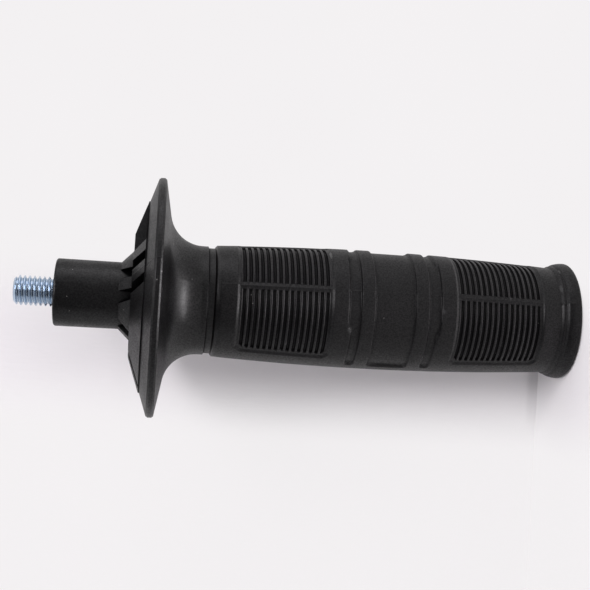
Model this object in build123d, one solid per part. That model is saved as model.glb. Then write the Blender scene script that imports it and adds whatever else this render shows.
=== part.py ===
from build123d import *
import os
from math import asin, cos, radians, sin, tan

# Lengths are in millimetres and angles in degrees.
# The handle stands on the flat end of its grip, and Z runs up its axis to the stud.
# The mould parts on the XZ plane: +X and -X are its two parting lines, +Y and -Y its two poles.
# The ribs in the front of the guard run along X and along Y.

# The plastic shrinks onto the bolt and the sleeve grips the core, with this much room between
moulding_gap = 0.02

# Threaded stud: a hexagon-head bolt that is moulded in, and stands out of the boss
thread_diameter = 8.0
shank_diameter = 7.2
stud_exposed = 10.5
stud_embedded = 29.5
stud_tip_chamfer = 0.9
head_across_flats = 13.0
head_height = 5.3

# Outline of the grip sleeve, by radius
waist_radius = 15.05
barrel_radius = 16.55
sleeve_top_radius = 15.1
sleeve_top_chamfer = 0.5
sleeve_wall = 2.6
sleeve_end_wall = 3.0

# Flared lip at the end of the grip
lip_radius = 16.6
lip_round = 1.2
lip_base_radius = 15.6
lip_base_height = 5.0
waist_height = 6.0

# Groove panels, two along the grip on each side of it
groove_count = 15
groove_pitch = 1.57
groove_width = 0.85
groove_depth = 0.55
groove_wall_draft = 10.0
panel_depth = 0.45
panel_bevel = 0.9
panel_end_ridge = 0.6
panel_corner = 1.7
parting_band_width = 2.0
groove_pole_angle = 70.0
panel_pole_angle = 72.5

# Valleys, ridges and the long recess between the panels
land_length = 3.75
valley_width = 3.75
ridge_width = 3.3
recess_length = 11.6
recess_depth = 0.65
recess_bevel = 0.5
recess_corner = 1.4
valley_step = 0.9
valley_step_angle = 36.0
spine_angle = 86.0
rear_recess_angle = 66.0
rear_panel_inner = 9.8
rear_panel_step = 1.9

# Plain stretches at the two ends of the pattern
lower_margin = 10.5
upper_margin = 5.6

# Neck and hand guard
neck_radius = 14.75
neck_groove_width = 1.9
neck_groove_depth = 0.45
neck_length = 1.5
flare_radius = 9.0
flare_slope = 10.0
guard_radius = 32.3
rim_width = 1.85
rim_round = 0.4
ring_width = 6.5
ring_slope = 18.5

# Ribs and pockets in the front of the guard
rib_proud = 0.3
rib_slope = 19.0
rib_flat_radius = 16.8
hub_radius = 12.2
centre_rib = 3.2
slot_width = 2.9
side_rib = 2.7
rib_draft = 3.0
guard_floor = 2.5

# Boss that seats on the tool
boss_diameter = 18.0
boss_length = 19.9
boss_edge_round = 0.6

# Lengths along the grip, added up from its end
panel_length = (groove_count - 1) * groove_pitch + groove_width + 2 * (panel_end_ridge + panel_bevel)
lower_panel_z = lower_margin
lower_valley_z = lower_panel_z + panel_length + land_length
lower_ridge_z = lower_valley_z + valley_width
recess_z = lower_ridge_z + ridge_width
upper_ridge_z = recess_z + recess_length
upper_valley_z = upper_ridge_z + ridge_width
upper_land_z = upper_valley_z + valley_width
upper_panel_z = upper_land_z + land_length
pattern_top_z = upper_panel_z + panel_length
sleeve_length = pattern_top_z + upper_margin

# Heights of the guard, worked up from the sleeve
neck_z = sleeve_length + neck_groove_width
flare_z = neck_z + neck_length
flare_end_radius = neck_radius + flare_radius * (1 - sin(radians(flare_slope)))
flare_end_z = flare_z + flare_radius * cos(radians(flare_slope))
rim_back_z = flare_end_z + (guard_radius - flare_end_radius) * tan(radians(flare_slope))
rim_front_z = rim_back_z + rim_width
ring_inner_radius = guard_radius - ring_width
ring_inner_z = rim_front_z + ring_width * tan(radians(ring_slope))
rib_low_z = ring_inner_z + rib_proud
rib_top_z = rib_low_z + (ring_inner_radius - rib_flat_radius) * tan(radians(rib_slope))
boss_radius = boss_diameter / 2
hub_cone_z = rib_top_z + hub_radius - boss_radius
boss_face_z = rib_top_z + boss_length
stud_tip_z = boss_face_z + stud_exposed

# The barrel of the grip is one long arc through its waist, its middle and its top
barrel_low_z = waist_height
cutter_radius = lip_radius + sleeve_wall


def land_radius(z):
    """Radius of the grip's land at a height, on the arc through waist, middle and top."""
    rise = (z - barrel_low_z) / (sleeve_length - barrel_low_z)
    chord = waist_radius + (sleeve_top_radius - waist_radius) * rise
    crown = barrel_radius - (waist_radius + sleeve_top_radius) / 2
    return chord + crown * 4 * rise * (1 - rise)


def barrel_line(depth, z_start, z_end):
    """Arc that runs below the land by a depth, between two heights."""
    z_middle = (z_start + z_end) / 2
    start = (land_radius(z_start) - depth, z_start)
    middle = (land_radius(z_middle) - depth, z_middle)
    end = (land_radius(z_end) - depth, z_end)
    return ThreePointArc(start, middle, end)


def turned(lines):
    """Solid turned round the axis from a closed outline in radius and height."""
    edges = [edge for line in lines for edge in line.edges()]
    return revolve(make_face(Plane.XZ * Wire(edges)), Axis.Z)


def outline_through(points):
    """Closed line of straight runs through points in radius and height."""
    return Polyline(*points, close=True)


def bolt_space(room):
    """Hexagon-head bolt up to the boss face, grown all round by some room."""
    head_top_z = boss_face_z - stud_embedded + room
    head_bottom_z = boss_face_z - stud_embedded - head_height - room
    hexagon = RegularPolygon(head_across_flats / 2 + room, 6, major_radius=False)
    head = Pos(0, 0, head_bottom_z) * extrude(hexagon, head_top_z - head_bottom_z)
    shank = extrude(Circle(shank_diameter / 2 + room), boss_face_z - head_bottom_z)
    return head + Pos(0, 0, head_bottom_z) * shank


def threaded_stud():
    """Bolt with its head deep in the plastic and its threaded end bare."""
    thread = Pos(0, 0, boss_face_z) * extrude(Circle(thread_diameter / 2), stud_exposed)
    tip = thread.edges().group_by(Axis.Z)[-1]
    return bolt_space(0) + chamfer(tip, stud_tip_chamfer)


def core_outline():
    """Core, neck, flare, ribbed front and boss, as one closed line in radius and height."""
    core_low_z = sleeve_end_wall + moulding_gap
    core_low_radius = land_radius(barrel_low_z) - sleeve_wall - moulding_gap
    core_inset = sleeve_wall + moulding_gap
    core_side = barrel_line(core_inset, barrel_low_z, sleeve_length + moulding_gap)
    groove_radius = neck_radius - neck_groove_depth
    groove_chamfer = neck_groove_depth / 2
    slope = radians(flare_slope)
    flare_middle = radians((90 - flare_slope) / 2)
    arc_middle = (
        neck_radius + flare_radius * (1 - cos(flare_middle)),
        flare_z + flare_radius * sin(flare_middle),
    )
    rim_back_radius = guard_radius - rim_round
    rim_back = (rim_back_radius, rim_back_z - rim_round * tan(slope))
    low_lines = [
        Polyline((0, core_low_z), (core_low_radius, core_low_z), core_side @ 0),
        core_side,
        Polyline(
            core_side @ 1,
            (groove_radius, sleeve_length + moulding_gap),
            (groove_radius, neck_z - groove_chamfer),
            (neck_radius, neck_z),
            (neck_radius, flare_z),
        ),
        ThreePointArc((neck_radius, flare_z), arc_middle, (flare_end_radius, flare_end_z)),
    ]
    rim_lines = [
        Polyline(
            (flare_end_radius, flare_end_z),
            rim_back,
            (guard_radius, rim_back_z + rim_round),
            (guard_radius, rim_front_z - rim_round),
            (rim_back_radius, rim_front_z + rim_round * tan(radians(ring_slope))),
            (ring_inner_radius, ring_inner_z),
            (ring_inner_radius, rib_low_z),
            (rib_flat_radius, rib_top_z),
            (hub_radius, rib_top_z),
            (boss_radius, hub_cone_z),
            (boss_radius, boss_face_z),
            (0, boss_face_z),
            (0, core_low_z),
        )
    ]
    return low_lines + rim_lines


def pocket_ring(inner_radius):
    """Ring of space in the front of the guard, from an inner radius out to the plain ring."""
    slope = tan(radians(flare_slope))
    floor_offset = guard_floor / cos(radians(flare_slope))
    inner_floor_z = flare_end_z + floor_offset - (flare_end_radius - inner_radius) * slope
    outer_floor_z = flare_end_z + floor_offset + (ring_inner_radius - flare_end_radius) * slope
    draft = tan(radians(rib_draft))
    inner_foot = inner_radius + (rib_top_z - inner_floor_z) * draft
    outer_foot = ring_inner_radius - (rib_low_z - outer_floor_z) * draft
    top_z = hub_cone_z + boss_radius
    points = [
        (inner_radius, rib_top_z),
        (inner_foot, inner_floor_z),
        (outer_foot, outer_floor_z),
        (ring_inner_radius, rib_low_z),
        (ring_inner_radius, top_z),
        (inner_radius, top_z),
    ]
    return turned([outline_through(points)])


def drafted_bar(half_width, top_growth):
    """Bar along X, set on the rib tops, that is wider above by the draft or narrower by it."""
    low_z = flare_z
    high_z = hub_cone_z + boss_radius
    draft = top_growth * tan(radians(rib_draft))
    low_half = half_width - (rib_top_z - low_z) * draft
    high_half = half_width + (high_z - rib_top_z) * draft
    section = Polyline(
        (-low_half, low_z),
        (low_half, low_z),
        (high_half, high_z),
        (-high_half, high_z),
        close=True,
    )
    face = make_face(Plane.YZ * section)
    return extrude(face, guard_radius, both=True)


def guard_pockets():
    """Two corner pockets on the +Y side, and the eight slots that leave three ribs each way."""
    rib_group_half = centre_rib / 2 + slot_width + side_rib
    rib_group = drafted_bar(rib_group_half, -1)
    crossing_group = Rot(0, 0, 90) * rib_group
    guard_width = 2 * guard_radius
    filled_side = Pos(0, -guard_radius, rib_top_z) * Box(guard_width, guard_width, guard_width)
    corners = pocket_ring(hub_radius) - rib_group - crossing_group - filled_side
    slot_offset = centre_rib / 2 + slot_width / 2
    slot = drafted_bar(slot_width / 2, 1)
    slots = [Pos(0, side * slot_offset, 0) * slot for side in (-1, 1)]
    slots += [Rot(0, 0, 90) * one for one in slots]
    slot_space = pocket_ring(boss_radius)
    return [corners] + [slot_space & one for one in slots]


def guard_and_core():
    """Hard moulding: core, neck, guard and boss in one."""
    body = turned(core_outline())
    face_edge = body.edges().filter_by(GeomType.CIRCLE).group_by(Axis.Z)[-1]
    body = fillet(face_edge, boss_edge_round)
    body -= guard_pockets()
    return body - bolt_space(moulding_gap)


def sleeve_outline():
    """Sleeve with its lip and barrel, before the pattern is cut."""
    lip_middle = radians(45)
    end_radius = lip_radius - lip_round
    edge_middle = (end_radius + lip_round * sin(lip_middle), lip_round * (1 - cos(lip_middle)))
    base_run = lip_base_height - lip_round
    base_drop = lip_radius - lip_base_radius
    crown = (base_run**2 + base_drop**2) / (2 * base_drop)
    half_turn = asin(base_run / crown) / 2
    crown_middle = (lip_radius - crown * (1 - cos(half_turn)), lip_round + crown * sin(half_turn))
    side = barrel_line(0, barrel_low_z, sleeve_length - sleeve_top_chamfer)
    bore = barrel_line(sleeve_wall, barrel_low_z, sleeve_length)
    bore_low_radius = land_radius(barrel_low_z) - sleeve_wall
    return [
        Line((0, 0), (end_radius, 0)),
        ThreePointArc((end_radius, 0), edge_middle, (lip_radius, lip_round)),
        ThreePointArc((lip_radius, lip_round), crown_middle, (lip_base_radius, lip_base_height)),
        Line((lip_base_radius, lip_base_height), side @ 0),
        side,
        Polyline(side @ 1, (sleeve_top_radius - sleeve_top_chamfer, sleeve_length), bore @ 1),
        bore,
        Polyline(
            bore @ 0,
            (bore_low_radius, sleeve_end_wall),
            (0, sleeve_end_wall),
            (0, 0),
        ),
    ]


def bevelled_ring(z_start, z_end, depth, bevel):
    """Ring of space over a stretch of the grip, with a sloping wall at each end."""
    floor = barrel_line(depth, z_start + bevel, z_end - bevel)
    upper_reach = (cutter_radius - (floor @ 1).X) / (land_radius(z_end) - (floor @ 1).X)
    lower_reach = (cutter_radius - (floor @ 0).X) / (land_radius(z_start) - (floor @ 0).X)
    walls = Polyline(
        floor @ 1,
        (cutter_radius, (floor @ 1).Y + bevel * upper_reach),
        (cutter_radius, (floor @ 0).Y - bevel * lower_reach),
        floor @ 0,
    )
    return turned([floor, walls])


def on_side(window, side):
    """The window as made on the +X side, or turned round to the -X side."""
    return window if side > 0 else Rot(0, 0, 180) * window


def pole_window(pole_angle, depth, bevel):
    """Space on the +X side that stops short of both poles, with a sloping edge at each."""
    floor_radius = barrel_radius - depth
    floor_x = floor_radius * cos(radians(pole_angle))
    floor_y = floor_radius * sin(radians(pole_angle))
    top_x = floor_x - bevel
    top_y = floor_y + depth
    far = 2 * cutter_radius
    points = [
        (floor_x, -floor_y),
        (floor_x, floor_y),
        (top_x, top_y),
        (top_x, far),
        (far, far),
        (far, -far),
        (top_x, -far),
        (top_x, -top_y),
    ]
    return extrude(make_face(outline_through(points)), sleeve_length)


def plan_window(points):
    """Space on the +X side that has a given outline when seen from a pole."""
    far = 2 * cutter_radius
    outline = [(far, points[0][1])] + points + [(far, points[-1][1])]
    return extrude(make_face(Plane.XZ * outline_through(outline)), far, both=True)


def cornered_plan(near_x, z_start, z_end, corner):
    """Seen from a pole, a stretch of the grip with its two near corners cut off."""
    clear = land_length / 2
    return [
        (near_x + corner + clear, z_start - clear),
        (near_x, z_start + corner),
        (near_x, z_end - corner),
        (near_x + corner + clear, z_end + clear),
    ]


def rear_panel_plan(near_x, z_start, z_end, inner_end):
    """Seen from a pole, a rear panel, which keeps further from the pole over its inner stretch."""
    clear = land_length / 2
    inner_x = near_x + rear_panel_step
    z_step = z_end - rear_panel_inner
    points = [
        (near_x + panel_corner + clear, z_start - clear),
        (near_x, z_start + panel_corner),
        (near_x, z_step - rear_panel_step),
        (inner_x, z_step),
        (inner_x, z_end + clear),
    ]
    if inner_end > 0:
        return points
    return [(x, z_start + z_end - z) for x, z in reversed(points)]


def panel_windows(z_start, z_end, near_x, inner_end):
    """Space over one panel on the +X side, and over its fellow that goes to the -X side."""
    front = cornered_plan(near_x, z_start, z_end, panel_corner)
    rear = rear_panel_plan(near_x, z_start, z_end, inner_end)
    return [(1, plan_window(front)), (-1, plan_window(rear))]


def panel_beds(z_start, inner_end):
    """Shallow beds of one pair of groove panels, one on each side of the grip."""
    z_end = z_start + panel_length
    ring = bevelled_ring(z_start, z_end, panel_depth, panel_bevel)
    pole = pole_window(panel_pole_angle, panel_depth, panel_bevel)
    near_x = (barrel_radius - panel_depth) * cos(radians(panel_pole_angle)) - panel_bevel
    windows = panel_windows(z_start, z_end, near_x, inner_end)
    return [ring & on_side(pole & window, side) for side, window in windows]


def groove_cuts(z_start, inner_end):
    """Grooves of one pair of panels, in two banks either side of each parting line."""
    z_low = z_start + panel_bevel
    z_high = z_start + panel_length - panel_bevel
    near_x = (barrel_radius - panel_depth) * cos(radians(groove_pole_angle))
    band = Box(4 * cutter_radius, parting_band_width, 2 * sleeve_length)
    windows = panel_windows(z_low, z_high, near_x, inner_end)
    windows = [on_side(window - band, side) for side, window in windows]
    draft = tan(radians(groove_wall_draft))
    half_floor = groove_width / 2 - groove_depth * draft
    clear = panel_depth / 2
    half_clear = groove_width / 2 + clear * draft
    cuts = []
    for index in range(groove_count):
        z = z_low + panel_end_ridge + groove_width / 2 + index * groove_pitch
        top = land_radius(z) - panel_depth
        points = [
            (top - groove_depth, z - half_floor),
            (top - groove_depth, z + half_floor),
            (top + clear, z + half_clear),
            (top + clear, z - half_clear),
        ]
        ring = turned([outline_through(points)])
        cuts += [ring & window for window in windows]
    return cuts


def recess_cuts(z_start, z_end, z_outer):
    """One valley or the long recess on both sides, narrowed towards the poles if it steps in."""
    ring = bevelled_ring(z_start, z_end, recess_depth, recess_bevel)
    if z_outer:
        ring &= stepped_plan(z_start, z_end, z_outer)
    cuts = []
    for side, pole_angle in ((1, spine_angle), (-1, rear_recess_angle)):
        near_x = (barrel_radius - recess_depth) * cos(radians(pole_angle)) - recess_bevel
        plan = plan_window(cornered_plan(near_x, z_start, z_end, recess_corner))
        window = pole_window(pole_angle, recess_depth, recess_bevel) & plan
        cuts.append(ring & on_side(window, side))
    return cuts


def stepped_plan(z_start, z_end, z_outer):
    """Seen along X, a valley whose outer wall steps in beyond an angle from the parting line."""
    inward = 1 if z_outer == z_start else -1
    z_inner = z_end if inward > 0 else z_start
    z_inner += inward * valley_width
    z_narrow = z_outer + inward * valley_step
    half_wide = barrel_radius * sin(radians(valley_step_angle))
    half_narrow = half_wide + valley_step + recess_bevel
    z_open = z_outer - inward * valley_width
    far = 2 * cutter_radius
    points = [
        (-far, z_inner),
        (-far, z_narrow),
        (-half_narrow, z_narrow),
        (-half_wide, z_narrow - inward * (half_narrow - half_wide)),
        (-half_wide, z_open),
        (half_wide, z_open),
        (half_wide, z_narrow - inward * (half_narrow - half_wide)),
        (half_narrow, z_narrow),
        (far, z_narrow),
        (far, z_inner),
    ]
    return extrude(make_face(Plane.YZ * outline_through(points)), far, both=True)


def grip_sleeve():
    """Soft sleeve with its groove panels, valleys, ridges and long recess."""
    beds = panel_beds(lower_panel_z, 1) + panel_beds(upper_panel_z, -1)
    recesses = recess_cuts(recess_z, upper_ridge_z, None)
    recesses += recess_cuts(lower_valley_z, lower_ridge_z, lower_valley_z)
    recesses += recess_cuts(upper_valley_z, upper_land_z, upper_land_z)
    grooves = groove_cuts(lower_panel_z, 1) + groove_cuts(upper_panel_z, -1)
    return turned(sleeve_outline()) - (beds + recesses) - grooves


def main():
    """Build the three pieces and write each one out."""
    os.makedirs("parts", exist_ok=True)
    pieces = {
        "threaded_stud": threaded_stud(),
        "guard_and_core": guard_and_core(),
        "grip_sleeve": grip_sleeve(),
    }
    for name, piece in pieces.items():
        export_step(piece, f"parts/{name}.step")


main()
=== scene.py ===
from math import asin, cos, degrees, pi, radians, sin, sqrt

import bpy
import numpy as np
from mathutils import Matrix, Vector


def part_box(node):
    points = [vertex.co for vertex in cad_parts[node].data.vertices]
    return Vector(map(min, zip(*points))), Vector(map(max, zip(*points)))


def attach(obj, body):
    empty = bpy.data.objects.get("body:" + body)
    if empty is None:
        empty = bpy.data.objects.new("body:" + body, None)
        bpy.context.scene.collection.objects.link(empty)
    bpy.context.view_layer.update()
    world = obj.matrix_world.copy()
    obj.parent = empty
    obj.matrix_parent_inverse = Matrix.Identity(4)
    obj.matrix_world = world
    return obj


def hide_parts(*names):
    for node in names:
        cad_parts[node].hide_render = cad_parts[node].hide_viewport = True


bl_info = {
    "name": "Side Handle",
    "version": (1, 0, 0),
    "blender": (4, 5, 0),
    "location": "3D View > Sidebar > Side Handle",
    "description": "Dresses a ribbed side handle: soft sleeve, hard guard, zinc stud and its stage",
    "category": "Object",
}

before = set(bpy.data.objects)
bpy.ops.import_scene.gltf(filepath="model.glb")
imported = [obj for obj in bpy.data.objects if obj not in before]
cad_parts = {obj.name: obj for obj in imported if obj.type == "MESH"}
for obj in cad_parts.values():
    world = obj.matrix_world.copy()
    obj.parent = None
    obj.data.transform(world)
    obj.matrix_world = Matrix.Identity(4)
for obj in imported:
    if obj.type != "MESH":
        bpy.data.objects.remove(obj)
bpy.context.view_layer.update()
SLEEVE_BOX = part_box("grip_sleeve")
GUARD_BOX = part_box("guard_and_core")
STUD_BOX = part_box("threaded_stud")

# Shapes are worked out in millimetres and set down in metres
MM = 0.001
FULL_TURN = 2 * pi

# Colour sockets of a Mix node, which have the same names as its other sockets
MIX_FIRST, MIX_SECOND, MIX_RESULT = 6, 7, 2

# Heights of the guard's ring, between which its parting line shows
RING_BACK = 115.0 * MM
RING_FRONT = 122.4 * MM
RING_FADE = 0.5 * MM


def size(name, default, description):
    """Length in millimetres that a user may change, kept in metres."""
    return bpy.props.FloatProperty(
        name=name, description=description, default=default * MM, unit="LENGTH", precision=5
    )


def share(name, default, description):
    """Factor from nothing to all."""
    return bpy.props.FloatProperty(
        name=name, description=description, default=default, min=0, max=1, subtype="FACTOR"
    )


def colour(name, default, description):
    """Scene-linear colour."""
    return bpy.props.FloatVectorProperty(
        name=name, description=description, default=default, size=3, min=0, max=1, subtype="COLOR"
    )


def power(name, default, description):
    """Power of a lamp in watts."""
    return bpy.props.FloatProperty(
        name=name, description=description, default=default, min=0, unit="POWER"
    )


def angle(name, default, description):
    """Angle in degrees that a user may change, kept in radians."""
    return bpy.props.FloatProperty(
        name=name, description=description, default=radians(default), subtype="ANGLE", unit="ROTATION"
    )


class HANDLE_PG_sleeve(bpy.types.PropertyGroup):
    """Soft sleeve: its outline, panels, grooves, valleys and long recess."""

    waist: size("Waist radius", 15.05, "Narrowest part of the grip, next to its lip")
    barrel: size("Barrel radius", 16.55, "Widest part of the grip's land")
    top: size("Top radius", 15.1, "Land radius at the neck")
    top_chamfer: size("Top chamfer", 0.5, "Corner taken off next to the neck")
    wall: size("Wall", 2.6, "Thickness round the core")
    end_wall: size("End wall", 3.0, "Thickness over the end of the core")
    lip: size("Lip radius", 16.6, "Flared end of the grip")
    lip_round: size("Lip round", 1.2, "Round at the very end")
    lip_base: size("Lip base radius", 15.6, "Radius where the lip drops to the waist")
    lip_base_height: size("Lip base height", 5.0, "Height of that place above the end")
    waist_height: size("Waist height", 6.0, "Where the barrel starts")
    crease_height: size("Crease height", 4.4, "Soft crease at the foot of the lip, above the end")
    crease_width: size("Crease width", 1.2, "Width of that crease")
    crease_depth: size("Crease depth", 0.3, "Depth of that crease")
    groove_count: bpy.props.IntProperty(
        name="Grooves", description="Grooves in one panel", default=15, min=1
    )
    groove_pitch: size("Groove pitch", 1.57, "From groove to groove")
    groove_width: size("Groove width", 0.85, "Width of a groove at its top")
    groove_depth: size("Groove depth", 0.55, "Depth of a groove below the panel")
    groove_edge: size("Groove edge", 0.11, "Soft round along a groove's edge")
    panel_depth: size("Panel depth", 0.45, "How far the panels lie below the land")
    panel_bevel: size("Panel bevel", 0.9, "Width of the slope round a panel")
    panel_end: size("Panel end", 0.6, "Ridge between the slope and the first groove")
    panel_corner: size("Panel corner", 1.7, "Corner taken off a panel")
    band: size("Parting band", 2.0, "Plain band between two banks of grooves")
    groove_pole: angle("Groove reach", 70.0, "How far round a groove runs from the parting line")
    panel_pole: angle("Panel reach", 72.5, "How far round a panel runs from the parting line")
    land: size("Land", 3.75, "Plain stretch beside a panel")
    valley: size("Valley width", 3.75, "Width of each narrow valley")
    ridge: size("Ridge width", 3.3, "Ridge between a valley and the long recess")
    recess: size("Recess length", 11.6, "Length of the long recess")
    recess_depth: size("Recess depth", 0.65, "Depth of the valleys and the recess")
    recess_bevel: size("Recess bevel", 0.5, "Width of their sloping edges")
    recess_corner: size("Recess corner", 1.4, "Corner taken off a recess")
    valley_step: size("Valley step", 0.9, "How much a valley narrows towards the pole")
    step_angle: angle("Step angle", 36.0, "Where a valley narrows")
    spine: angle("Spine", 86.0, "How far round a recess runs on the near side")
    rear_spine: angle("Rear spine", 66.0, "How far round a recess runs on the far side")
    rear_inner: size("Rear inner length", 9.8, "Stretch where a far panel keeps off the pole")
    rear_step: size("Rear step", 1.9, "How far it keeps off there")
    lower_margin: size("Lower margin", 10.5, "Height of the first panel")
    seam_height: size("Seam height", 0.07, "Fine raised line where the mould parted")
    seam_width: size("Seam width", 0.24, "Width of that line")


class HANDLE_PG_thread(bpy.types.PropertyGroup):
    """Threaded stud with its hidden shank and hexagon head."""

    major: size("Major radius", 4.0, "Radius over the crests")
    minor: size("Minor radius", 3.25, "Radius in the roots")
    pitch: size("Pitch", 1.25, "From crest to crest")
    shank: size("Shank radius", 3.6, "Plain part inside the plastic")
    tip_chamfer: size("Tip chamfer", 0.9, "Cone at the free end")
    head_flats: size("Across flats", 13.0, "Hexagon head inside the plastic")
    head_height: size("Head height", 5.3, "Height of that head")
    exposed: size("Exposed length", 10.5, "Bare thread beyond the boss")
    start: share("Thread start", 0.5, "Where round the stud the thread starts, as part of a turn")


class HANDLE_PG_finish(bpy.types.PropertyGroup):
    """Colours and gloss of the three finishes."""

    rubber: colour("Soft grip", (0.0040, 0.0038, 0.0042), "Body colour of the sleeve")
    rubber_roughness: share("Soft grip roughness", 0.37, "Roughness of the sleeve")
    plastic: colour("Hard plastic", (0.0018, 0.0017, 0.0020), "Body colour of the guard and core")
    plastic_roughness: share("Hard plastic roughness", 0.34, "Roughness of the guard and core")
    zinc: colour("Zinc", (0.50, 0.60, 0.72), "Tint of the blue-white plating")
    zinc_roughness: share("Zinc roughness", 0.16, "Roughness of the plating")
    dust: colour("Dust", (0.30, 0.29, 0.28), "Colour of the pale specks")


class HANDLE_PG_stage(bpy.types.PropertyGroup):
    """Floor, backdrop, lamps and camera."""

    paper: colour("Paper", (0.90, 0.88, 0.89), "Colour of the floor and the backdrop")
    key_power: power("Key lamp", 5.6, "Broad lamp above, on the camera's side")
    rim_power: power("Rim lamp", 1.6, "Broad lamp level with the handle, at its lit side")
    glow_power: power("Low glow", 0.04, "Narrow beam from low in front, up to the flare")
    lift_power: power("Low lift", 0.05, "Wide glow from the floor in front, along the grip")
    sky: bpy.props.FloatProperty(
        name="Sky", description="Strength of the even light all round", default=0.82, min=0
    )
    gap: size("Backdrop gap", 0.6, "Room between the handle and the backdrop")


def add_object(name, mesh):
    """Object for a mesh, in the scene's own collection."""
    made = bpy.data.objects.new(name, mesh)
    bpy.context.scene.collection.objects.link(made)
    return made


def ease(value):
    """Smooth step from 0 to 1, flat at both ends."""
    held = np.clip(value, 0, 1)
    return held * held * (3 - 2 * held)


def shell_mesh(name, rings, angles):
    """Closed mesh through rings of points, from a point on the axis to another one."""
    count = len(angles)
    turns = np.array(angles)
    points = [(0.0, 0.0, rings[0][1])]
    for radius, height in rings[1:-1]:
        around = np.broadcast_to(radius, (count,))
        points += [
            (r * cos(t), r * sin(t), float(h))
            for r, t, h in zip(around, turns, np.broadcast_to(height, (count,)))
        ]
    points.append((0.0, 0.0, rings[-1][1]))
    last = len(points) - 1
    faces = [(0, 1 + (i + 1) % count, 1 + i) for i in range(count)]
    for ring in range(len(rings) - 3):
        low = 1 + ring * count
        high = low + count
        for i in range(count):
            after = (i + 1) % count
            faces.append((low + i, low + after, high + after, high + i))
    low = last - count
    faces += [(low + i, low + (i + 1) % count, last) for i in range(count)]
    mesh = bpy.data.meshes.new(name)
    mesh.from_pydata([(x * MM, y * MM, z * MM) for x, y, z in points], [], faces)
    mesh.validate()
    mesh.update()
    mesh.shade_smooth()
    return mesh


def in_millimetres(settings, names):
    """The lengths of a settings group, in millimetres."""
    return {name: getattr(settings, name) / MM for name in names}


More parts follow.
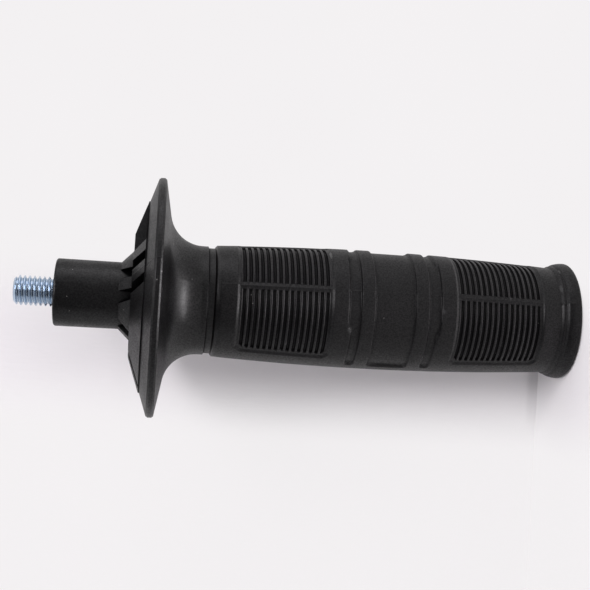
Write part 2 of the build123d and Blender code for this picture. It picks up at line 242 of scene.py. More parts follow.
class SleeveShape:
    """Outline and pattern of the sleeve, in millimetres, as the CAD piece has them."""

    lengths = (
        "waist barrel top top_chamfer wall end_wall lip lip_round lip_base lip_base_height waist_height"
        " crease_height crease_width crease_depth"
        " groove_pitch groove_width groove_depth groove_edge panel_depth panel_bevel panel_end"
        " panel_corner band land valley ridge recess recess_depth recess_bevel recess_corner valley_step"
        " rear_inner rear_step lower_margin seam_height seam_width"
    ).split()

    # Extra width of a groove's wall, the length over which the parting line fades out at the neck,
    # and the angle in degrees over which a valley narrows
    wall_run = 0.05
    seam_run = 2
    narrow_run = 4

    # How many rings lie over each stretch, and how close two rings may come
    round_rings, lip_rings, ramp_rings, crease_rings = 7, 10, 7, 11
    slope_rings, land_rings, bore_rings = 8, 70, 12
    closest = 0.03

    # Rings over an edge, in shares of its round, its bevel or its step, and over the end face
    groove_ring_shares = (1, 0.3, -0.5, -1.5)
    recess_ring_shares = (-0.1, 0.2, 0.4, 0.6, 0.8, 1.1)
    step_ring_shares = (0, 0.3, 0.6, 1)
    end_face_shares = (0.35, 0.7, 0.93)
    panel_margin_out = 0.1
    panel_margin_in = 0.05

    # Columns in degrees from a parting line: wide apart at the side, close where the grooves end
    band_margin = 0.35
    side_columns = (6.0, 61.0, 3.0)
    groove_end_columns = (61.5, 77.0, 0.62)
    pole_columns = (79.0, 81.5, 84.0, 85.5, 86.3, 87.1, 87.9, 88.9)

    def __init__(self, settings):
        for name, value in in_millimetres(settings, self.lengths).items():
            setattr(self, name, value)
        self.count = settings.groove_count
        self.groove_pole = settings.groove_pole
        self.panel_pole = settings.panel_pole
        self.step_angle = settings.step_angle
        self.spine = settings.spine
        self.rear_spine = settings.rear_spine
        self.length = (SLEEVE_BOX[1].z - SLEEVE_BOX[0].z) / MM
        self.panel = (self.count - 1) * self.groove_pitch + self.groove_width
        self.panel += 2 * (self.panel_end + self.panel_bevel)
        self.lower_panel = self.lower_margin
        self.lower_valley = self.lower_panel + self.panel + self.land
        self.recess_start = self.lower_valley + self.valley + self.ridge
        self.recess_stop = self.recess_start + self.recess
        self.upper_valley = self.recess_stop + self.ridge
        self.upper_panel = self.upper_valley + self.valley + self.land

    def outline(self, z):
        """Radius of the plain outline at heights."""
        rise = (z - self.waist_height) / (self.length - self.waist_height)
        chord = self.waist + (self.top - self.waist) * rise
        crown = self.barrel - (self.waist + self.top) / 2
        land = chord + crown * 4 * rise * (1 - rise)
        under_round = np.clip(self.lip_round - z, 0, self.lip_round)
        corner = self.lip - self.lip_round + np.sqrt(self.lip_round**2 - under_round**2)
        run = self.lip_base_height - self.lip_round
        drop = self.lip - self.lip_base
        bend = (run**2 + drop**2) / (2 * drop)
        along = np.clip(z - self.lip_round, 0, run)
        lip = self.lip - (bend - np.sqrt(bend**2 - along**2))
        ramp = ease((z - self.lip_base_height) / (self.waist_height - self.lip_base_height))
        ramp = self.lip_base + (self.waist - self.lip_base) * ramp
        radius = np.where(z < self.waist_height, ramp, land)
        radius = np.where(z < self.lip_base_height, lip, radius)
        radius = np.where(z < self.lip_round, corner, radius)
        top_cut = np.clip(z - (self.length - self.top_chamfer), 0, None)
        crease = ease(1 - np.abs(z - self.crease_height) / (self.crease_width / 2)) * self.crease_depth
        return radius - top_cut - crease

    def bed(self, x, z, start, rear, inner_end):
        """How deep the bed of a panel is, from 0 on the land to 1 on its floor."""
        near = (self.barrel - self.panel_depth) * cos(self.panel_pole) - self.panel_bevel
        room = self.inside(x, z, start, start + self.panel, near, self.panel_corner, rear, inner_end)
        return ease(room / self.panel_bevel)

    def inside(self, x, z, start, stop, near, corner, rear, inner_end):
        """Distance inside a panel's outline seen from a pole, with its corners cut off."""
        inner = stop - z if inner_end > 0 else z - start
        step = self.rear_step * ease((self.rear_inner + self.rear_step - inner) / self.rear_step)
        near = near + np.where(rear, step, 0)
        root_two = sqrt(2)
        low_corner = (x - near + z - start - corner) / root_two
        high_corner = (x - near + stop - z - corner) / root_two
        distance = np.minimum(np.minimum(z - start, stop - z), x - near)
        return np.minimum(distance, np.minimum(low_corner, high_corner))

    def groove_heights(self, start):
        """Height of the middle of each groove in a panel."""
        first = start + self.panel_bevel + self.panel_end + self.groove_width / 2
        return [first + i * self.groove_pitch for i in range(self.count)]

    def grooves(self, x, y, z, start, rear, inner_end):
        """How deep the grooves of a panel are, from 0 to 1."""
        heights = self.groove_heights(start)
        nearest = np.clip(np.round((z - heights[0]) / self.groove_pitch), 0, self.count - 1)
        across = np.abs(z - heights[0] - nearest * self.groove_pitch)
        half = self.groove_width / 2
        near = (self.barrel - self.panel_depth) * cos(self.groove_pole)
        low, high = start + self.panel_bevel, start + self.panel - self.panel_bevel
        inner = high - z if inner_end > 0 else z - low
        step = self.rear_step * ease((self.rear_inner - inner) / self.rear_step)
        near = near + np.where(rear, step, 0)
        past_end = np.clip(near + half - x, 0, None)
        room = half - np.hypot(across, past_end)
        corner = self.inside(x, z, low, high, near, self.panel_corner, np.zeros_like(rear), 1)
        room = np.minimum(room, corner)
        room = np.minimum(room, np.abs(y) - self.band / 2)
        return ease((room + self.groove_edge) / (2 * self.groove_edge + self.wall_run))

    def recessed(self, x, y, z, start, stop, outer, rear):
        """How deep a valley or the long recess is, from 0 to 1."""
        reach = np.where(rear, self.rear_spine, self.spine)
        near = (self.barrel - self.recess_depth) * np.cos(reach) - self.recess_bevel
        none = np.zeros_like(rear)
        turn = np.degrees(np.arcsin(np.clip(np.abs(y) / self.barrel, 0, 1)))
        narrowing = self.valley_step * ease((turn - degrees(self.step_angle)) / self.narrow_run)
        low = start + (narrowing if outer == start else 0)
        high = stop - (narrowing if outer == stop else 0)
        room = self.inside(x, z, low, high, near, self.recess_corner, none, 1)
        return ease(room / self.recess_bevel)

    def radius(self, turn, z):
        """Radius of the finished surface at angles and heights."""
        radius = self.outline(z)
        x, y = radius * np.cos(turn), radius * np.sin(turn)
        rear = x < 0
        x = np.abs(x)
        upper = z > (self.recess_start + self.recess_stop) / 2
        beds = np.where(
            upper,
            self.bed(x, z, self.upper_panel, rear, -1),
            self.bed(x, z, self.lower_panel, rear, 1),
        )
        cuts = np.where(
            upper,
            self.grooves(x, y, z, self.upper_panel, rear, -1),
            self.grooves(x, y, z, self.lower_panel, rear, 1),
        )
        stop = self.upper_valley + self.valley
        recess = self.recessed(x, y, z, self.recess_start, self.recess_stop, None, rear)
        start = self.lower_valley
        recess = np.maximum(recess, self.recessed(x, y, z, start, start + self.valley, start, rear))
        recess = np.maximum(recess, self.recessed(x, y, z, self.upper_valley, stop, stop, rear))
        seam = np.clip(1 - np.abs(y) / (self.seam_width / 2), 0, 1)
        seam *= ease((z - self.lip_round) / self.lip_round)
        seam *= ease((self.length - self.top_chamfer - z) / self.seam_run)
        radius = radius - beds * self.panel_depth - cuts * self.groove_depth
        return radius - recess * self.recess_depth + seam * self.seam_height

    def heights(self):
        """Heights of the mesh's rings: close together wherever the surface bends."""
        lines = list(np.linspace(0, self.lip_round, self.round_rings))
        lines += list(np.linspace(self.lip_round, self.lip_base_height, self.lip_rings))
        lines += list(np.linspace(self.lip_base_height, self.waist_height, self.ramp_rings))
        crease = (self.crease_height - self.crease_width / 2, self.crease_height + self.crease_width / 2)
        lines += list(np.linspace(*crease, self.crease_rings))
        for start in (self.lower_panel, self.upper_panel):
            stop = start + self.panel
            slope = (-self.panel_margin_out, self.panel_bevel + self.panel_margin_in)
            lines += list(start + np.linspace(*slope, self.slope_rings))
            lines += list(stop - np.linspace(*slope, self.slope_rings))
            for middle in self.groove_heights(start):
                for part in self.groove_ring_shares:
                    away = self.groove_width / 2 + part * self.groove_edge
                    lines += [middle - away, middle + away]
                lines += [middle, middle + self.groove_pitch / 2]
        edges = [(self.recess_start, 1), (self.recess_stop, -1)]
        edges += [(self.lower_valley, 1), (self.lower_valley + self.valley, -1)]
        edges += [(self.upper_valley, 1), (self.upper_valley + self.valley, -1)]
        for edge, inward in edges:
            lines += [edge + inward * self.recess_bevel * part for part in self.recess_ring_shares]
        for edge, inward in (edges[2], edges[-1]):
            steps = [self.valley_step + self.recess_bevel * part for part in self.step_ring_shares]
            lines += [edge + inward * step for step in steps]
        top = self.length - self.top_chamfer
        lines += list(np.linspace(self.waist_height, top, self.land_rings))
        lines += [top, self.length]
        kept = []
        for line in sorted(lines):
            if 0 <= line <= self.length and (not kept or line - kept[-1] > self.closest):
                kept.append(line)
        return kept

    def turns(self):
        """Angles of the mesh's columns, all the way round."""
        band = degrees(asin(self.band / 2 / self.barrel))
        seam = degrees(asin(self.seam_width / 2 / self.barrel))
        steps = [seam / 2, seam, band - self.band_margin, band, band + self.band_margin]
        steps += list(np.arange(*self.side_columns))
        steps += list(np.arange(*self.groove_end_columns))
        steps += list(self.pole_columns)
        near = [0.0] + steps + [90.0] + [180.0 - step for step in reversed(steps)]
        return [radians(step) for step in near] + [radians(180 + step) for step in near]


class HANDLE_OT_sleeve(bpy.types.Operator):
    """Make the soft sleeve with its groove panels, valleys and long recess"""

    bl_idname = "handle.sleeve"
    bl_label = "Grip sleeve"

    def execute(self, context):
        shape = SleeveShape(context.scene.handle_sleeve)
        turns = np.array(shape.turns())
        rings = [(0.0, 0.0)]
        rings += [(shape.outline(np.array(0.0)) * part, 0.0) for part in shape.end_face_shares]
        for z in shape.heights():
            rings.append((shape.radius(turns, np.full_like(turns, z)), z))
        for z in np.linspace(shape.length, shape.waist_height, shape.bore_rings):
            bore = shape.outline(np.array(min(z, shape.length - shape.top_chamfer))) - shape.wall
            rings.append((bore, z))
        rings.append((shape.waist - shape.wall, shape.end_wall))
        rings.append((0.0, shape.end_wall))
        sleeve = add_object("soft_sleeve", shell_mesh("soft_sleeve", rings, turns))
        weighted = sleeve.modifiers.new("even_normals", "WEIGHTED_NORMAL")
        weighted.keep_sharp = True
        sleeve.data.materials.append(soft_grip_finish(context.scene.handle_finish))
        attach(sleeve, "root")
        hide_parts("grip_sleeve")
        return {"FINISHED"}


class ThreadShape:
    """Stud: threaded end, shank and head, in millimetres."""

    lengths = "major minor pitch shank tip_chamfer head_flats head_height exposed".split()
    columns = 128
    rows_per_pitch = 22
    sharp_edge = radians(50)

    # Profile from the middle of a crest to the middle of a root, in shares of that distance: where
    # the root starts, and how far the soft and the straight flank run down to it. The last share is
    # how much of the depth the soft flank has.
    root_start = 0.80
    soft_run = 0.72
    straight_run = 0.68
    soft_share = 0.45

    def __init__(self, settings):
        for name, value in in_millimetres(settings, self.lengths).items():
            setattr(self, name, value)
        self.start = settings.start
        self.tip = STUD_BOX[1].z / MM
        self.face = self.tip - self.exposed
        self.bottom = STUD_BOX[0].z / MM

    def radius(self, turn, z):
        """Radius of the thread: flat crests, sloping flanks and round roots."""
        phase = (z / self.pitch - turn / FULL_TURN + self.start) % 1
        away = np.abs(phase - 0.5) * 2
        soft = ease((self.root_start - away) / self.soft_run) * self.soft_share
        straight = np.clip((self.root_start - away) / self.straight_run, 0, 1) * (1 - self.soft_share)
        radius = self.minor + (self.major - self.minor) * (soft + straight)
        run_in = self.shank - np.clip(z - self.face, 0, None)
        cone = self.major - self.tip_chamfer + (self.tip - z)
        return np.minimum(np.maximum(radius, run_in), cone)


class HANDLE_OT_stud(bpy.types.Operator):
    """Make the zinc-plated stud with its thread cut as a real helix"""

    bl_idname = "handle.stud"
    bl_label = "Threaded stud"

    def execute(self, context):
        shape = ThreadShape(context.scene.handle_thread)
        turns = np.arange(shape.columns) * FULL_TURN / shape.columns
        sixth = FULL_TURN / 6
        flat = (turns + sixth / 2) % sixth - sixth / 2
        head = shape.head_flats / 2 / np.cos(flat)
        head_top = shape.bottom + shape.head_height
        rings = [(0.0, shape.bottom), (head, shape.bottom), (head, head_top)]
        rings += [(shape.shank, head_top), (shape.shank, shape.face)]
        rows = int(shape.exposed / shape.pitch * shape.rows_per_pitch)
        for z in np.linspace(shape.face, shape.tip, rows + 1)[1:]:
            rings.append((shape.radius(turns, z), z))
        rings.append((0.0, shape.tip))
        stud = add_object("zinc_stud", shell_mesh("zinc_stud", rings, turns))
        stud.data.set_sharp_from_angle(angle=shape.sharp_edge)
        stud.data.materials.append(zinc_finish(context.scene.handle_finish))
        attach(stud, "root")
        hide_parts("threaded_stud")
        return {"FINISHED"}


class HANDLE_OT_guard(bpy.types.Operator):
    """Give the guard, neck, core and boss their hard plastic"""

    bl_idname = "handle.guard"
    bl_label = "Guard and core"

    def execute(self, context):
        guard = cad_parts["guard_and_core"]
        guard.data.materials[0] = hard_plastic_finish(context.scene.handle_finish)
        return {"FINISHED"}


# Factors of a finish's colour on convex edges, where the lighter colour is a painted highlight, on specks of
# dust, and in the roots of the thread, where the darker colour is painted shade; and the weight of gloss that
# a convex edge adds as a further painted highlight
EDGE_PAINTED_HIGHLIGHT = 2.0
DUST_VEIL = 0.5
ROOT_PAINTED_SHADE = 0.16
EDGE_GLOSS = 0.6


def group_tree(name, inputs, outputs):
    """Empty shader node group with its sockets and its two end nodes."""
    tree = bpy.data.node_groups.new(name, "ShaderNodeTree")
    for label, kind, default in inputs:
        socket = tree.interface.new_socket(name=label, in_out="INPUT", socket_type=kind)
        if default is not None:
            socket.default_value = default
    for label, kind in outputs:
        tree.interface.new_socket(name=label, in_out="OUTPUT", socket_type=kind)
    return tree, tree.nodes.new("NodeGroupInput"), tree.nodes.new("NodeGroupOutput")


def plug(tree, source, target):
    """Link that takes an output to an input."""
    tree.links.new(source, target)


def math_node(tree, operation, first, second):
    """Math node on two sockets or numbers; returns its output."""
    node = tree.nodes.new("ShaderNodeMath")
    node.operation = operation
    for socket, value in zip(node.inputs, (first, second)):
        if isinstance(value, bpy.types.NodeSocket):
            plug(tree, value, socket)
        elif value is not None:
            socket.default_value = value
    return node.outputs[0]


def noise(tree, where, scale, detail, roughness=0.5, distortion=0.0):
    """Noise texture at a scale per metre; returns its factor."""
    node = tree.nodes.new("ShaderNodeTexNoise")
    node.inputs["Scale"].default_value = scale
    node.inputs["Detail"].default_value = detail
    node.inputs["Roughness"].default_value = roughness
    node.inputs["Distortion"].default_value = distortion
    plug(tree, where, node.inputs["Vector"])
    return node.outputs["Fac"]


def spread(tree, value, low, high, to_low=0.0, to_high=1.0):
    """Map Range node; returns its result."""
    node = tree.nodes.new("ShaderNodeMapRange")
    node.interpolation_type = "SMOOTHSTEP"
    for label, number in (("From Min", low), ("From Max", high), ("To Min", to_low), ("To Max", to_high)):
        node.inputs[label].default_value = number
    plug(tree, value, node.inputs["Value"])
    return node.outputs["Result"]


def stretched(tree, where, scale):
    """Coordinates stretched by a factor for each axis."""
    node = tree.nodes.new("ShaderNodeMapping")
    node.inputs["Scale"].default_value = scale
    plug(tree, where, node.inputs["Vector"])
    return node.outputs["Vector"]


def specks_group():
    """Sparse pale specks of dust, with a threshold for how many there are."""
    inputs = [
        ("Vector", "NodeSocketVector", None),
        ("Scale", "NodeSocketFloat", 900.0),
        ("Radius", "NodeSocketFloat", 0.16),
        ("Share", "NodeSocketFloat", 0.1),
    ]
    tree, start, end = group_tree("dust_specks", inputs, [("Mask", "NodeSocketFloat")])
    cells = tree.nodes.new("ShaderNodeTexVoronoi")
    plug(tree, start.outputs["Vector"], cells.inputs["Vector"])
    plug(tree, start.outputs["Scale"], cells.inputs["Scale"])
    near = math_node(tree, "LESS_THAN", cells.outputs["Distance"], start.outputs["Radius"])
    split = tree.nodes.new("ShaderNodeSeparateColor")
    plug(tree, cells.outputs["Color"], split.inputs["Color"])
    picked = math_node(tree, "LESS_THAN", split.outputs[0], start.outputs["Share"])
    plug(tree, math_node(tree, "MULTIPLY", near, picked), end.inputs["Mask"])
    return tree


def grain_group():
    """Fine moulded grain over a slower mottle, as a height and a mask."""
    inputs = [
        ("Vector", "NodeSocketVector", None),
        ("Grain", "NodeSocketFloat", 2600.0),
        ("Mottle", "NodeSocketFloat", 120.0),
    ]
    outputs = [("Height", "NodeSocketFloat"), ("Mottle", "NodeSocketFloat")]
    tree, start, end = group_tree("moulded_grain", inputs, outputs)
    fine = noise(tree, start.outputs["Vector"], scale=1.0, detail=2.0, roughness=0.6)
    plug(tree, start.outputs["Grain"], fine.node.inputs["Scale"])
    slow = noise(tree, start.outputs["Vector"], scale=1.0, detail=4.0, roughness=0.6)
    plug(tree, start.outputs["Mottle"], slow.node.inputs["Scale"])
    plug(tree, fine, end.inputs["Height"])
    plug(tree, slow, end.inputs["Mottle"])
    return tree


def shaded_gloss_group():
    """Weight of a glossy skin: full in the open, least in grooves, where ambient occlusion cuts it as painted
    shade, uneven from grain to grain.
    """
    inputs = [
        ("Grain", "NodeSocketFloat", 0.5),
        ("Reach", "NodeSocketFloat", 0.001),
        ("In grooves", "NodeSocketFloat", 0.0),
        ("In the open", "NodeSocketFloat", 0.5),
    ]
    tree, start, end = group_tree("shaded_gloss", inputs, [("Weight", "NodeSocketFloat")])
    # Ambient occlusion takes gloss out of grooves and hollows: painted shade
    room = tree.nodes.new("ShaderNodeAmbientOcclusion")
    room.samples = 8
    room.only_local = True
    plug(tree, start.outputs["Reach"], room.inputs["Distance"])
    gloss = spread(tree, room.outputs["AO"], low=0.60, high=0.97)
    plug(tree, start.outputs["In grooves"], gloss.node.inputs["To Min"])
    plug(tree, start.outputs["In the open"], gloss.node.inputs["To Max"])
    uneven = spread(tree, start.outputs["Grain"], low=0.3, high=0.7, to_low=0.66, to_high=1.34)
    plug(tree, math_node(tree, "MULTIPLY", gloss, uneven), end.inputs["Weight"])
    return tree


def shared_group(name, maker):
    """A node group that is made once and then reused."""
    return bpy.data.node_groups.get(name) or maker()


def add_group(tree, name, maker, values):
    """Group node with its own values."""
    node = tree.nodes.new("ShaderNodeGroup")
    node.node_tree = shared_group(name, maker)
    for label, value in values.items():
        if isinstance(value, bpy.types.NodeSocket):
            plug(tree, value, node.inputs[label])
        else:
            node.inputs[label].default_value = value
    return node


def fresh_material(name):
    """Material with its tree, its shader and the object's own coordinates."""
    material = bpy.data.materials.new(name)
    material.use_nodes = True
    tree = material.node_tree
    shader = tree.nodes["Principled BSDF"]
    where = tree.nodes.new("ShaderNodeTexCoord").outputs["Object"]
    return material, tree, shader, where


def mixed(tree, factor, first, second):
    """Colour mixed between two sockets or colours; returns its result."""
    node = tree.nodes.new("ShaderNodeMix")
    node.data_type = "RGBA"
    plug(tree, factor, node.inputs["Factor"])
    for socket, value in ((node.inputs[MIX_FIRST], first), (node.inputs[MIX_SECOND], second)):
        if isinstance(value, bpy.types.NodeSocket):
            plug(tree, value, socket)
        else:
            socket.default_value = (*value, 1)
    return node.outputs[MIX_RESULT]


def lighter(shade, factor):
    """Colour times a factor."""
    return tuple(channel * factor for channel in shade)


def mottled(tree, mask, shade, dark, light):
    """Colour that wanders between two factors of itself over a mask; returns its result."""
    return mixed(tree, mask, lighter(shade, dark), lighter(shade, light))


def bumped(tree, height, strength, distance, below=None):
    """Bump node over a height; returns its normal."""
    node = tree.nodes.new("ShaderNodeBump")
    node.inputs["Strength"].default_value = strength
    node.inputs["Distance"].default_value = distance
    plug(tree, height, node.inputs["Height"])
    if below is not None:
        plug(tree, below, node.inputs["Normal"])
    return node.outputs["Normal"]


def set_skin(tree, shader, gloss, roughness, refraction):
    """Glossy skin over the body colour, which alone gives the piece its sheen."""
    shader.inputs["Specular IOR Level"].default_value = 0.0
    shader.inputs["Coat Roughness"].default_value = roughness
    shader.inputs["Coat IOR"].default_value = refraction
    plug(tree, gloss, shader.inputs["Coat Weight"])


def soft_grip_finish(finish):
    """Matt black soft rubber: fine grain, slow mottle, pale specks and a painted highlight on convex edges.
    """
    material, tree, shader, where = fresh_material("soft_grip_finish")
    grain = add_group(tree, "moulded_grain", grain_group, {"Vector": where, "Grain": 2600.0, "Mottle": 90.0})
    mottle = grain.outputs["Mottle"]
    specks = {"Vector": where, "Scale": 900.0, "Radius": 0.10, "Share": 0.010}
    specks = add_group(tree, "dust_specks", specks_group, specks).outputs["Mask"]
    # Convex edges found by pointiness get a lighter colour and more gloss: a painted highlight
    edge = tree.nodes.new("ShaderNodeNewGeometry").outputs["Pointiness"]
    edge = spread(tree, edge, low=0.52, high=0.60)
    body = mottled(tree, mottle, finish.rubber, dark=0.75, light=1.3)
    body = mixed(tree, edge, body, lighter(finish.rubber, EDGE_PAINTED_HIGHLIGHT))
    body = mixed(tree, specks, body, lighter(finish.dust, DUST_VEIL))
    plug(tree, body, shader.inputs["Base Color"])
    smooth, dull = finish.rubber_roughness - 0.05, finish.rubber_roughness + 0.06
    rough = spread(tree, mottle, low=0.3, high=0.7, to_low=smooth, to_high=dull)
    plug(tree, rough, shader.inputs["Roughness"])
    normal = bumped(tree, grain.outputs["Height"], strength=0.4, distance=0.08 * MM)
    plug(tree, normal, shader.inputs["Normal"])
    skin = noise(tree, where, scale=2600.0, detail=2.0, roughness=0.6)
    # Gloss that fades in grooves by ambient occlusion, a painted shade
    gloss = {"Grain": skin, "Reach": 1.3 * MM, "In grooves": 0.02, "In the open": 0.57}
    gloss = add_group(tree, "shaded_gloss", shaded_gloss_group, gloss).outputs["Weight"]
    # Extra gloss on convex edges, a painted highlight
    gloss = math_node(tree, "ADD", gloss, math_node(tree, "MULTIPLY", edge, EDGE_GLOSS))
    set_skin(tree, shader, gloss, finish.rubber_roughness, refraction=1.45)
    skin_normal = bumped(tree, skin, strength=0.4, distance=0.08 * MM)
    plug(tree, skin_normal, shader.inputs["Coat Normal"])
    return material


def parting_line(tree, where):
    """Mask of the fine raised line on the guard's ring, where the mould parted in the XZ plane."""
    split = tree.nodes.new("ShaderNodeSeparateXYZ")
    plug(tree, where, split.inputs[0])
    across = math_node(tree, "ABSOLUTE", split.outputs["Y"], None)
    height = split.outputs["Z"]
    line = spread(tree, across, low=0.04 * MM, high=0.18 * MM, to_low=1.0, to_high=0.0)
    on_ring = spread(tree, height, low=RING_BACK - RING_FADE, high=RING_BACK)
    off_boss = spread(tree, height, low=RING_FRONT, high=RING_FRONT + RING_FADE, to_low=1.0, to_high=0.0)
    return math_node(tree, "MULTIPLY", line, math_node(tree, "MULTIPLY", on_ring, off_boss))


def hard_plastic_finish(finish):
    """Satin black glass-filled plastic: flow marks round the axis, specks and soft edges."""
    material, tree, shader, where = fresh_material("hard_plastic_finish")
    grain = add_group(tree, "moulded_grain", grain_group, {"Vector": where, "Grain": 2600.0, "Mottle": 160.0})
    specks = {"Vector": where, "Scale": 850.0, "Radius": 0.14, "Share": 0.05}
    specks = add_group(tree, "dust_specks", specks_group, specks).outputs["Mask"]
    body = mottled(tree, grain.outputs["Mottle"], finish.plastic, dark=0.8, light=1.35)
    body = mixed(tree, specks, body, lighter(finish.dust, DUST_VEIL))
    plug(tree, body, shader.inputs["Base Color"])
    along = stretched(tree, where, (1.0, 1.0, 0.35))
    flow = noise(tree, along, scale=90.0, detail=5.0, roughness=0.62, distortion=1.4)
    smooth, dull = finish.plastic_roughness - 0.04, finish.plastic_roughness + 0.05
    rough = spread(tree, flow, low=0.35, high=0.65, to_low=smooth, to_high=dull)
    plug(tree, rough, shader.inputs["Roughness"])
    skin = noise(tree, where, scale=2400.0, detail=4.0, roughness=0.65)
    # Gloss that fades in hollows by ambient occlusion, a painted shade
    gloss = {"Grain": skin, "Reach": 2.5 * MM, "In grooves": 0.06, "In the open": 0.57}
    gloss = add_group(tree, "shaded_gloss", shaded_gloss_group, gloss).outputs["Weight"]
    streaks = spread(tree, flow, low=0.3, high=0.7, to_low=0.9, to_high=1.1)
    gloss = math_node(tree, "MULTIPLY", gloss, streaks)
    set_skin(tree, shader, gloss, finish.plastic_roughness, refraction=1.5)
    edge = tree.nodes.new("ShaderNodeBevel")
    edge.samples = 6
    edge.inputs["Radius"].default_value = 0.22 * MM
    normal = edge.outputs["Normal"]
    normal = bumped(tree, parting_line(tree, where), strength=1.0, distance=0.07 * MM, below=normal)
    normal = bumped(tree, flow, strength=0.07, distance=0.4 * MM, below=normal)
    body_normal = bumped(tree, grain.outputs["Height"], strength=0.25, distance=0.05 * MM, below=normal)
    plug(tree, body_normal, shader.inputs["Normal"])
    skin_normal = bumped(tree, skin, strength=0.25, distance=0.05 * MM, below=normal)
    plug(tree, skin_normal, shader.inputs["Coat Normal"])
    return material


def zinc_finish(finish):
    """Bright blue-white zinc: pale crests, painted shade that darkens the roots, and drawn tool marks round
    the thread.
    """
    material, tree, shader, where = fresh_material("zinc_finish")
    cloud = noise(tree, where, scale=500.0, detail=4.0, roughness=0.6)
    # Pointiness finds the roots of the thread, which are darkened as painted shade
    crest = tree.nodes.new("ShaderNodeNewGeometry").outputs["Pointiness"]
    root = spread(tree, crest, low=0.40, high=0.52, to_low=1.0, to_high=0.0)
    body = mottled(tree, cloud, finish.zinc, dark=0.8, light=1.15)
    body = mixed(tree, root, body, lighter(finish.zinc, ROOT_PAINTED_SHADE))
    plug(tree, body, shader.inputs["Base Color"])
    shader.inputs["Metallic"].default_value = 1.0
    smooth, dull = finish.zinc_roughness - 0.06, finish.zinc_roughness + 0.08
    rough = spread(tree, cloud, low=0.3, high=0.7, to_low=smooth, to_high=dull)
    plug(tree, rough, shader.inputs["Roughness"])
    marks = noise(tree, stretched(tree, where, (1.0, 1.0, 14.0)), scale=400.0, detail=2.0)
    plug(tree, bumped(tree, marks, strength=0.15, distance=0.03 * MM), shader.inputs["Normal"])
    return material


# Where the camera of the photograph stood, worked out from the outline of the handle: its lens and
# sensor in millimetres, the turn and tilt of the handle's axis in the view in degrees, and the place
# of the handle's base to the right of, below and in front of the lens
LENS = 66.45
SENSOR = 36.0
VIEW_YAW = 11.06
VIEW_TILT = 3.39
BASE_IN_VIEW = (56.42 * MM, 7.58 * MM, 316.8 * MM)
NEAREST = 10.0 * MM

# The photograph is cut off-centre, so that its optical axis lies right of its middle
VIEW_SHIFT = -0.1232

# How far the mould's parting plane is turned from facing the camera, in degrees
MOULD_TURN = 18.0


def view_axes():
    """The camera's right, down and forward directions in the row frame."""
    yaw, tilt = radians(VIEW_YAW), radians(VIEW_TILT)
    grip_way = Vector((cos(yaw) * cos(tilt), sin(tilt), sin(yaw) * cos(tilt))).normalized()
    up = -grip_way
    towards = Vector((sin(yaw), 0, -cos(yaw)))
    towards = (towards - towards.dot(up) * up).normalized()
    top = up.cross(towards)
    turn = radians(MOULD_TURN)
    across = towards * cos(turn) + top * sin(turn)
    beside = top * cos(turn) - towards * sin(turn)
    return Matrix((across, beside, up))


def add_camera():
    """Camera with the photograph's place, direction and lens."""
    axes = view_axes()
    base = Vector(BASE_IN_VIEW)
    place = -(axes @ base)
    right, down, forward = axes.col[0], axes.col[1], axes.col[2]
    turn = Matrix((right, -down, -forward)).transposed().to_4x4()
    data = bpy.data.cameras.new("photo_camera")
    data.lens = LENS
    data.sensor_width = SENSOR
    data.shift_x = VIEW_SHIFT
    data.clip_start = NEAREST
    camera = add_object("photo_camera", data)
    camera.matrix_world = Matrix.Translation(place) @ turn
    bpy.context.scene.camera = camera


def stage_directions():
    """Level direction towards the camera, and the level direction that is up in the picture."""
    turn = radians(MOULD_TURN)
    return Vector((cos(turn), -sin(turn), 0)), Vector((sin(turn), cos(turn), 0))


# Lengths up the picture over which the paper turns plain white, above the shadow and below it,
# and how white it turns below
WHITE_ABOVE = (-12 * MM, 14 * MM)
WHITE_BELOW = (-42 * MM, -19 * MM)
LOWER_WHITE = 0.93


def clear_of_shadow(tree, where, top):
    """Mask over the paper: nothing where the handle's shadow lies, more and more away from it."""
    upward = tree.nodes.new("ShaderNodeVectorMath")
    upward.operation = "DOT_PRODUCT"
    upward.inputs[1].default_value = top
    plug(tree, where, upward.inputs[0])
    above = spread(tree, upward.outputs["Value"], *WHITE_ABOVE)
    below = spread(tree, upward.outputs["Value"], *WHITE_BELOW, to_low=LOWER_WHITE, to_high=0.0)
    return math_node(tree, "MAXIMUM", above, below)


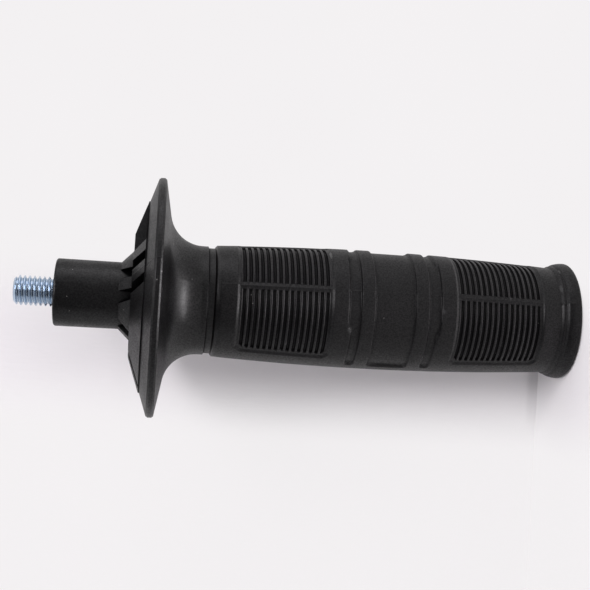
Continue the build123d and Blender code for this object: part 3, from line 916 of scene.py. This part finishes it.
def paper_finish(stage, top):
    """Pale matt paper with a faint weave, seen from its front only and plain white away from the shadow."""
    material, tree, shader, where = fresh_material("paper_finish")
    cloud = noise(tree, where, scale=14.0, detail=3.0)
    body = mottled(tree, cloud, stage.paper, dark=0.985, light=1.01)
    plug(tree, body, shader.inputs["Base Color"])
    shader.inputs["Roughness"].default_value = 0.9
    shader.inputs["Specular IOR Level"].default_value = 0.2
    weave = noise(tree, stretched(tree, where, (1.0, 1.0, 0.12)), scale=900.0, detail=2.0)
    plug(tree, bumped(tree, weave, strength=0.25, distance=0.2 * MM), shader.inputs["Normal"])
    plain = tree.nodes.new("ShaderNodeEmission")
    plug(tree, body, plain.inputs["Color"])
    path = tree.nodes.new("ShaderNodeLightPath").outputs
    seen = math_node(tree, "MAXIMUM", path["Is Camera Ray"], path["Is Glossy Ray"])
    seen = math_node(tree, "MAXIMUM", seen, path["Is Transmission Ray"])
    front = tree.nodes.new("ShaderNodeMixShader")
    plug(tree, math_node(tree, "MULTIPLY", seen, clear_of_shadow(tree, where, top)), front.inputs[0])
    plug(tree, shader.outputs[0], front.inputs[1])
    plug(tree, plain.outputs[0], front.inputs[2])
    clear = tree.nodes.new("ShaderNodeBsdfTransparent")
    mix = tree.nodes.new("ShaderNodeMixShader")
    back = tree.nodes.new("ShaderNodeNewGeometry").outputs["Backfacing"]
    plug(tree, back, mix.inputs[0])
    plug(tree, front.outputs[0], mix.inputs[1])
    plug(tree, clear.outputs[0], mix.inputs[2])
    plug(tree, mix.outputs[0], tree.nodes["Material Output"].inputs["Surface"])
    return material


# Colour of the lamps, with a trace of violet
LAMP_TINT = (1.0, 0.97, 1.0)


def add_lamp(name, place, target, width, height, watts, beam=180.0):
    """Rectangular lamp that points at a target, with a beam in degrees."""
    data = bpy.data.lights.new(name, "AREA")
    data.shape = "RECTANGLE"
    data.size = width
    data.size_y = height
    data.energy = watts
    data.color = LAMP_TINT
    data.spread = radians(beam)
    lamp = add_object(name, data)
    lamp.location = place
    lamp.rotation_euler = (target - place).to_track_quat("-Z", "Y").to_euler()


# Surroundings: their colour, how far the dim side is turned down the picture from the camera, the
# angles in degrees where it starts and is full, and what light is left there
ROOM_TINT = (0.98, 0.97, 1.0)
DIM_DOWN = 0.2
DIM_START = 62.0
DIM_FULL = 38.0
DIM_LEFT = 0.04


def set_world(strength, towards, top):
    """Even pale surroundings, whose light is dimmer on the camera's side as in a room."""
    world = bpy.data.worlds.new("soft_room")
    bpy.context.scene.world = world
    world.use_nodes = True
    tree = world.node_tree
    where = tree.nodes.new("ShaderNodeTexCoord").outputs["Generated"]
    side = tree.nodes.new("ShaderNodeVectorMath")
    side.operation = "DOT_PRODUCT"
    side.inputs[1].default_value = (towards - DIM_DOWN * top).normalized()
    plug(tree, where, side.inputs[0])
    start, full = cos(radians(DIM_START)), cos(radians(DIM_FULL))
    light = spread(tree, side.outputs["Value"], low=start, high=full, to_low=1.0, to_high=DIM_LEFT)
    tone = mixed(tree, light, (0, 0, 0), ROOM_TINT)
    surroundings = tree.nodes["Background"]
    plug(tree, tone, surroundings.inputs["Color"])
    surroundings.inputs["Strength"].default_value = strength


class HANDLE_OT_stage(bpy.types.Operator):
    """Set the pale floor, the backdrop, the lamps and the camera"""

    bl_idname = "handle.stage"
    bl_label = "Stage"

    floor_half: size("Floor half width", 6000.0, "Half of the floor's width")
    backdrop_half: size("Backdrop half width", 420.0, "Half of the backdrop's width")
    backdrop_height: size("Backdrop height", 420.0, "Length of the leaning backdrop")

    # Places in metres towards the camera, up in the picture and above the floor; the broad lamps'
    # places are measured from the middle of the handle
    key_place = Vector((0.62, 0.3, 0.75))
    rim_place = Vector((0.15, 0.95, 0.1))
    low_place = Vector((0.065, 0.03, 0.003))
    flare_place = Vector((0.03, 0.03, 0.11))

    # Sizes in metres and beams in degrees
    key_size = 0.5
    rim_size = 0.6
    glow_size = (0.20, 0.03)
    glow_beam = 60.0
    lift_size = (0.30, 0.07)
    lift_beam = 110.0

    # Height where the backdrop clears the guard, as a share of the height of the boss
    rim_height = 0.76

    def execute(self, context):
        stage = context.scene.handle_stage
        towards, top = stage_directions()
        paper = paper_finish(stage, top)
        self.add_floor(paper)
        self.add_backdrop(stage, paper, towards, top)
        self.add_lamps(stage, towards, top)
        set_world(stage.sky, towards, top)
        add_camera()
        context.scene.view_settings.view_transform = "Standard"
        return {"FINISHED"}

    def add_lamps(self, stage, towards, top):
        """Two broad lamps round the handle and two narrow ones on the floor in front of it."""
        axes = Matrix((towards, top, (0, 0, 1))).transposed()
        middle = Vector((0, 0, GUARD_BOX[1].z / 2))
        key = middle + axes @ self.key_place
        add_lamp("key_lamp", key, middle, self.key_size, self.key_size, stage.key_power)
        rim = middle + axes @ self.rim_place
        add_lamp("rim_lamp", rim, middle, self.rim_size, self.rim_size, stage.rim_power)
        low, flare = axes @ self.low_place, axes @ self.flare_place
        add_lamp("low_glow", low, flare, *self.glow_size, stage.glow_power, self.glow_beam)
        above = low + Vector((0, 0, 1))
        add_lamp("low_lift", low, above, *self.lift_size, stage.lift_power, self.lift_beam)

    def add_floor(self, paper):
        """Square of paper that the handle stands on."""
        half = self.floor_half
        corners = [(-half, -half, 0), (half, -half, 0), (half, half, 0), (-half, half, 0)]
        mesh = bpy.data.meshes.new("floor")
        mesh.from_pydata(corners, [], [(0, 1, 2, 3)])
        mesh.materials.append(paper)
        add_object("floor", mesh)

    def add_backdrop(self, stage, paper, towards, top):
        """Board that leans behind the handle, just clear of its lip and of its guard."""
        lip_reach = SLEEVE_BOX[1].x
        rim_reach = GUARD_BOX[1].x + stage.gap
        lean = (rim_reach - lip_reach) / (GUARD_BOX[1].z * self.rim_height)
        rise = Vector((0, 0, 1)) - towards * lean
        foot = -towards * (lip_reach + stage.gap)
        side = top * self.backdrop_half
        crest = foot + rise * self.backdrop_height
        mesh = bpy.data.meshes.new("backdrop")
        mesh.from_pydata([foot - side, foot + side, crest + side, crest - side], [], [(0, 1, 2, 3)])
        mesh.materials.append(paper)
        add_object("backdrop", mesh)


class HANDLE_PT_sidebar(bpy.types.Panel):
    """Lists the pieces of the handle"""

    bl_idname = "HANDLE_PT_sidebar"
    bl_label = "Side Handle"
    bl_space_type = "VIEW_3D"
    bl_region_type = "UI"
    bl_category = "Side Handle"

    def draw(self, context):
        column = self.layout.column()
        for operator in OPERATORS:
            column.operator(operator.bl_idname)


GROUPS = {
    "handle_sleeve": HANDLE_PG_sleeve,
    "handle_thread": HANDLE_PG_thread,
    "handle_finish": HANDLE_PG_finish,
    "handle_stage": HANDLE_PG_stage,
}
OPERATORS = (HANDLE_OT_sleeve, HANDLE_OT_guard, HANDLE_OT_stud, HANDLE_OT_stage)


def register():
    """Register the settings, the operators and the panel."""
    for name, group in GROUPS.items():
        bpy.utils.register_class(group)
        setattr(bpy.types.Scene, name, bpy.props.PointerProperty(type=group))
    for operator in OPERATORS:
        bpy.utils.register_class(operator)
    bpy.utils.register_class(HANDLE_PT_sidebar)


def unregister():
    """Take the panel, the operators and the settings away again."""
    bpy.utils.unregister_class(HANDLE_PT_sidebar)
    for operator in reversed(OPERATORS):
        bpy.utils.unregister_class(operator)
    for name, group in reversed(GROUPS.items()):
        delattr(bpy.types.Scene, name)
        bpy.utils.unregister_class(group)


def main():
    """Make every piece and the stage."""
    register()
    bpy.ops.handle.sleeve()
    bpy.ops.handle.guard()
    bpy.ops.handle.stud()
    bpy.ops.handle.stage()


if __name__ == "__main__":
    main()
